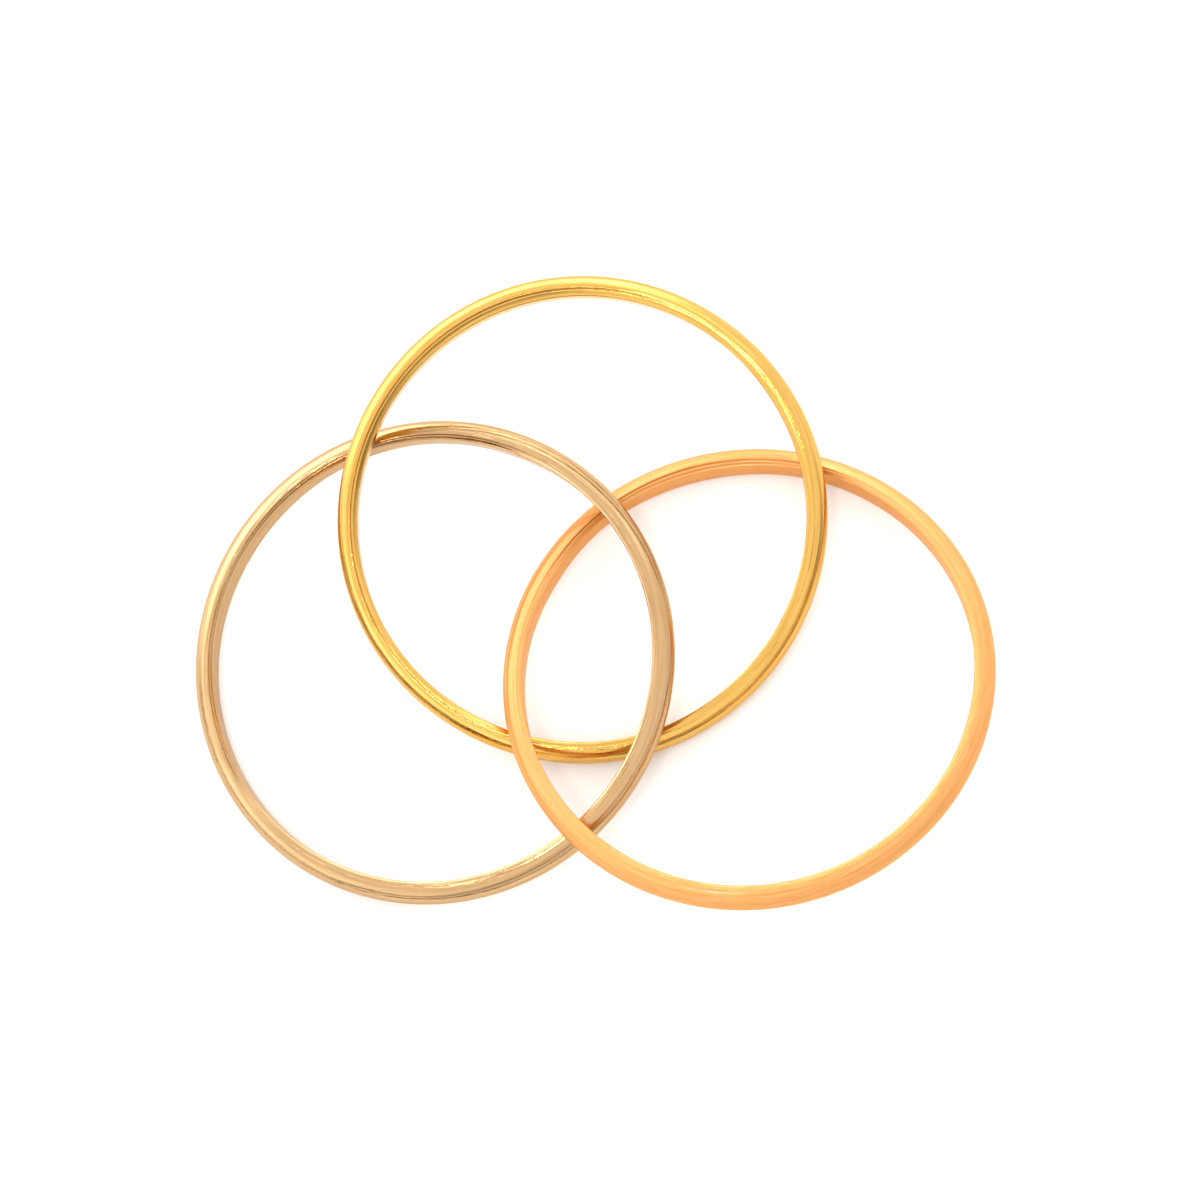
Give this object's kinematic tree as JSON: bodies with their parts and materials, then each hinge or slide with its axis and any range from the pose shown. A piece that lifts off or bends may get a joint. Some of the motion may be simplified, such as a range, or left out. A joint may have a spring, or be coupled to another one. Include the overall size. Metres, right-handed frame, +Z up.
{
  "type": "interlocked stackable ring",
  "caption": "Finger ring of thin plain domed bands in yellow, white and rose gold, each linked through the others, lying spread out on a table.",
  "frame": {"origin": "on the table, below the centre of the box round the bands as they lie", "axes": "+Z up from the table, +X along the long side of the spread: the white band lies towards -X, the rose band towards +X and the yellow band towards +Y"},
  "size_m": [0.031, 0.025, 0.0042],
  "materials": {
    "yellow_gold": "polished yellow gold with fine lines round the band",
    "white_gold": "polished pale champagne white gold, lightly brushed inside",
    "rose_gold": "polished rose gold with fine lines round the band"
  },
  "bodies": {
    "yellow": {"yellow_band": "yellow_gold"},
    "white": {"white_band": "white_gold"},
    "rose": {"rose_band": "rose_gold"}
  },
  "joints": [
    {"name": "white_spin", "type": "hinge", "parent": "yellow", "child": "white", "pos_m": [-0.00613, -0.00224, 0.00143], "axis": [-0.0763, -0.055, 0.9956], "continuous": true},
    {"name": "rose_spin", "type": "hinge", "parent": "yellow", "child": "rose", "pos_m": [0.0061, -0.00314, 0.00191], "axis": [0.007, 0.1476, 0.989], "continuous": true}
  ]
}
